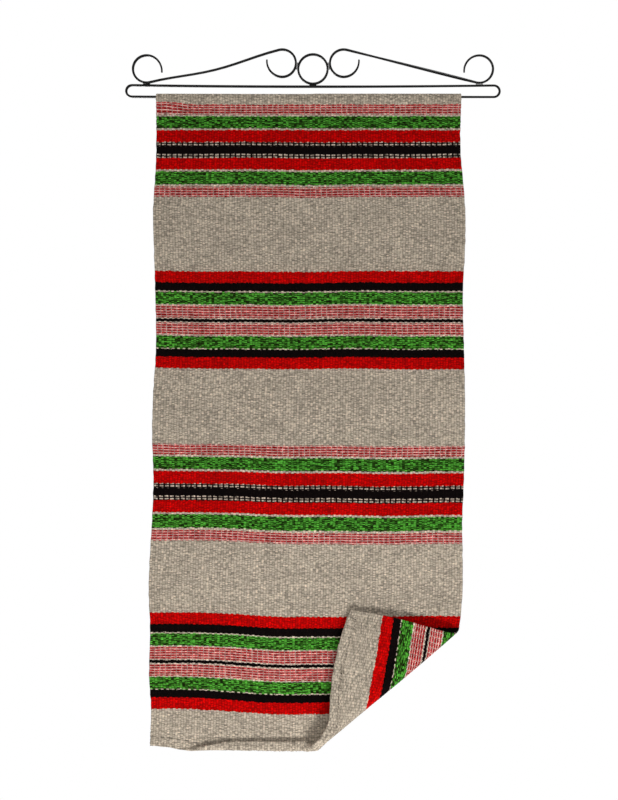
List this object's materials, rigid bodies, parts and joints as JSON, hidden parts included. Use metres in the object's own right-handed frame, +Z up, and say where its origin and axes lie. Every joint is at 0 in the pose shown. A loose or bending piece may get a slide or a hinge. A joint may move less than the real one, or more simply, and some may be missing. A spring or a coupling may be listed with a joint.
{
  "type": "wall hanging",
  "caption": "Striped flat-woven wool wall hanging on a black wrought-iron scroll hanger with a hanging ring, its lower right corner turned up to the front.",
  "frame": {"origin": "nail point: the inner top of the hanging ring, where a nail or hook carries the whole object", "axes": "+X to the right as seen from the room, +Y into the wall, +Z up"},
  "size_m": [0.4908, 0.0337, 0.9154],
  "materials": {
    "black_iron": "black, hand-bent, satin with worn grey-green sheen on the broad faces",
    "weld_bead": "rough, partly bare bead",
    "striped_wool": "weft-faced wool with ribs and cross stripes in red, black, green, rose and natural grey",
    "grey_wool": "undyed grey-beige wool melange, ribbed",
    "wool_thread": "light wool sewing yarn"
  },
  "bodies": {
    "hanger": {"hanger_frame": "black_iron", "left_scroll": "black_iron", "right_scroll": "black_iron", "hanging_ring": "black_iron", "weld_ring_to_bar": "weld_bead", "weld_ring_to_left_scroll": "weld_bead", "weld_ring_to_right_scroll": "weld_bead", "weld_left_scroll_to_bar": "weld_bead", "weld_right_scroll_to_bar": "weld_bead"},
    "sleeve": {"top_sleeve": "grey_wool", "sleeve_seam_thread": "wool_thread"},
    "panel": {"woven_panel": "striped_wool", "bottom_hem": "grey_wool", "hem_seam_thread": "wool_thread"},
    "roll": {"corner_roll": "striped_wool"},
    "corner": {"corner_flap": "striped_wool", "corner_hem": "grey_wool", "corner_hem_thread": "wool_thread"}
  },
  "joints": [
    {"name": "sleeve_slide", "type": "slide", "parent": "hanger", "child": "sleeve", "axis": [1, 0, 0], "range_m": [-0.03, 0.041]},
    {"name": "panel_swing", "type": "hinge", "parent": "sleeve", "child": "panel", "pos_m": [-0.0057, 0, -0.0658], "axis": [-1, 0, 0], "range_deg": [0, 90]},
    {"name": "corner_unroll", "type": "hinge", "parent": "panel", "child": "roll", "pos_m": [0.11846, -0.00288, -0.80856], "axis": [0.7738, 0, 0.6334], "range_deg": [0, 95]},
    {"name": "corner_unfold", "type": "hinge", "parent": "roll", "child": "corner", "pos_m": [0.11736, -0.0227, -0.80721], "axis": [0.7738, 0, 0.6334], "range_deg": [0, 95]}
  ],
  "couplings": [
    {"joint": "corner_unfold", "follows": "corner_unroll", "ratio": 1}
  ]
}
